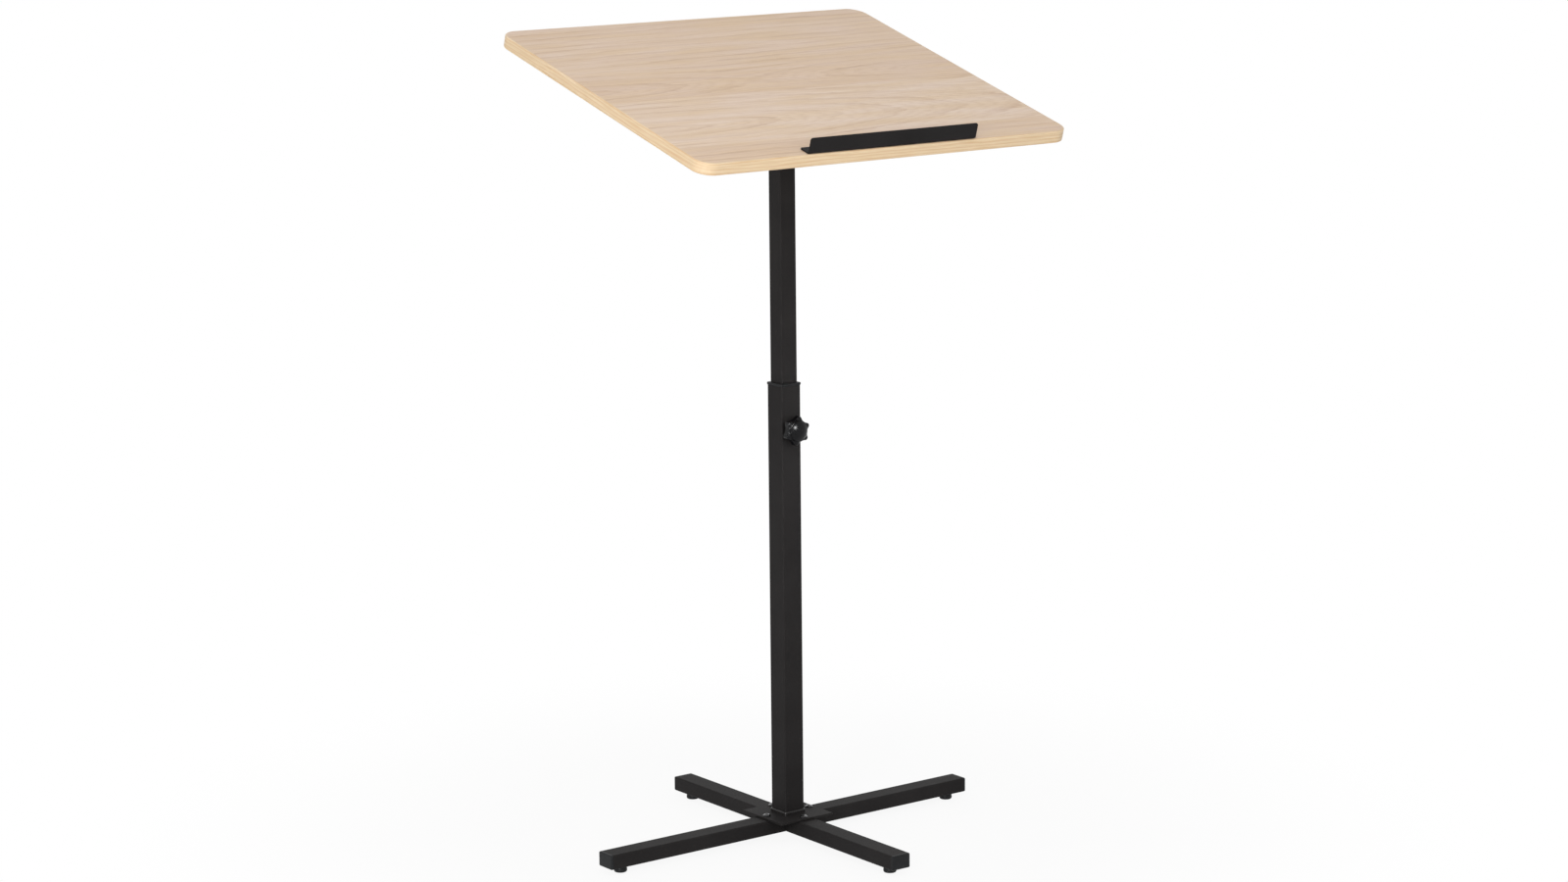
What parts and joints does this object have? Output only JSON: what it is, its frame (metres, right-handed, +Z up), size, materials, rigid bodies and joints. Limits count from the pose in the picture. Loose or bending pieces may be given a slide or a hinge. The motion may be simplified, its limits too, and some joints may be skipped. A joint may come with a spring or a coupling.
{
  "type": "height-adjustable laptop desk",
  "caption": "Standing laptop desk: a tilting wood-laminate top with a front edge stop on a telescopic square steel column, clamped by a star knob, on a cross foot.",
  "frame": {"origin": "on the floor under the axis of the column", "axes": "+Z up along the column, +X along the width of the top to the user's right, +Y away from the user; the edge stop and the clamp knob are on the -Y side"},
  "size_m": [0.607, 0.499, 1.1025],
  "materials": {
    "powder_coat": "satin black powder coat with a fine orange-peel texture",
    "black_oxide_steel": "black oxide steel, slightly oily sheen",
    "zinc_steel": "bright zinc plating",
    "knob_plastic": "glossy black moulded phenolic",
    "black_plastic": "matt black moulded polypropylene",
    "nylon": "natural off-white nylon",
    "laminate_board": "pale ash woodgrain melamine on chipboard, satin",
    "edge_band": "pale woodgrain ABS edge strip, satin"
  },
  "bodies": {
    "base": {"long_leg": "powder_coat", "short_leg": "powder_coat", "glide_rivet_nuts": "zinc_steel", "bolt_rivet_nuts": "zinc_steel", "base_plate": "powder_coat", "base_bolts": "black_oxide_steel", "column_weld": "powder_coat", "outer_column": "powder_coat", "column_bush": "black_plastic", "clamp_boss": "powder_coat", "end_cap_right": "black_plastic", "end_cap_rear": "black_plastic", "end_cap_left": "black_plastic", "end_cap_front": "black_plastic"},
    "clamp_screw": {"clamp_stud": "zinc_steel"},
    "clamp_handle": {"clamp_knob": "knob_plastic"},
    "mast": {"inner_column": "powder_coat", "mast_guide": "black_plastic", "spacer_sleeves": "zinc_steel", "nylon_washers": "nylon", "pivot_bolt": "zinc_steel", "pivot_washers": "zinc_steel", "pivot_nut": "zinc_steel", "tilt_lock_bolt": "zinc_steel"},
    "tilt_follower": {"tilt_washer": "zinc_steel"},
    "tilt_handle": {"tilt_knob": "knob_plastic"},
    "top": {"tilt_bracket": "powder_coat", "bracket_screws": "zinc_steel", "desktop_board": "laminate_board", "edge_band": "edge_band", "edge_stop": "powder_coat", "stop_screws": "black_oxide_steel"},
    "foot_screw_right": {"glide_stud_right": "zinc_steel"},
    "foot_pad_right": {"glide_pad_right": "black_plastic"},
    "foot_screw_rear": {"glide_stud_rear": "zinc_steel"},
    "foot_pad_rear": {"glide_pad_rear": "black_plastic"},
    "foot_screw_left": {"glide_stud_left": "zinc_steel"},
    "foot_pad_left": {"glide_pad_left": "black_plastic"},
    "foot_screw_front": {"glide_stud_front": "zinc_steel"},
    "foot_pad_front": {"glide_pad_front": "black_plastic"}
  },
  "joints": [
    {"name": "height", "type": "slide", "parent": "base", "child": "mast", "axis": [0, 0, 1], "range_m": [-0.315, 0.11]},
    {"name": "tilt", "type": "hinge", "parent": "mast", "child": "top", "pos_m": [0, 0, 1.0015], "axis": [1, 0, 0], "range_deg": [-16.5, 18.5]},
    {"name": "clamp_screw_travel", "type": "slide", "parent": "base", "child": "clamp_screw", "axis": [0, -1, 0], "range_m": [0, 0.0025]},
    {"name": "clamp_knob_turn", "type": "hinge", "parent": "clamp_screw", "child": "clamp_handle", "pos_m": [0, -0.03, 0.567], "axis": [0, -1, 0], "range_deg": [0, 720]},
    {"name": "tilt_washer_travel", "type": "slide", "parent": "mast", "child": "tilt_follower", "axis": [1, 0, 0], "range_m": [0, 0.0025]},
    {"name": "tilt_knob_turn", "type": "hinge", "parent": "tilt_follower", "child": "tilt_handle", "pos_m": [0.025, 0, 0.9695], "axis": [1, 0, 0], "range_deg": [0, 720]},
    {"name": "foot_right_travel", "type": "slide", "parent": "base", "child": "foot_screw_right", "axis": [0, 0, -1], "range_m": [0, 0.006]},
    {"name": "foot_right_turn", "type": "hinge", "parent": "foot_screw_right", "child": "foot_pad_right", "pos_m": [0.279, 0, 0], "axis": [0, 0, -1], "range_deg": [0, 2160]},
    {"name": "foot_rear_travel", "type": "slide", "parent": "base", "child": "foot_screw_rear", "axis": [0, 0, -1], "range_m": [0, 0.006]},
    {"name": "foot_rear_turn", "type": "hinge", "parent": "foot_screw_rear", "child": "foot_pad_rear", "pos_m": [0, 0.225, 0], "axis": [0, 0, -1], "range_deg": [0, 2160]},
    {"name": "foot_left_travel", "type": "slide", "parent": "base", "child": "foot_screw_left", "axis": [0, 0, -1], "range_m": [0, 0.006]},
    {"name": "foot_left_turn", "type": "hinge", "parent": "foot_screw_left", "child": "foot_pad_left", "pos_m": [-0.279, 0, 0], "axis": [0, 0, -1], "range_deg": [0, 2160]},
    {"name": "foot_front_travel", "type": "slide", "parent": "base", "child": "foot_screw_front", "axis": [0, 0, -1], "range_m": [0, 0.006]},
    {"name": "foot_front_turn", "type": "hinge", "parent": "foot_screw_front", "child": "foot_pad_front", "pos_m": [0, -0.225, 0], "axis": [0, 0, -1], "range_deg": [0, 2160]}
  ],
  "couplings": [
    {"joint": "clamp_knob_turn", "follows": "clamp_screw_travel", "rad_per_m": 5026.5},
    {"joint": "tilt_knob_turn", "follows": "tilt_washer_travel", "rad_per_m": 5026.5},
    {"joint": "foot_right_turn", "follows": "foot_right_travel", "rad_per_m": 6283.1},
    {"joint": "foot_rear_turn", "follows": "foot_rear_travel", "rad_per_m": 6283.1},
    {"joint": "foot_left_turn", "follows": "foot_left_travel", "rad_per_m": 6283.1},
    {"joint": "foot_front_turn", "follows": "foot_front_travel", "rad_per_m": 6283.1}
  ]
}
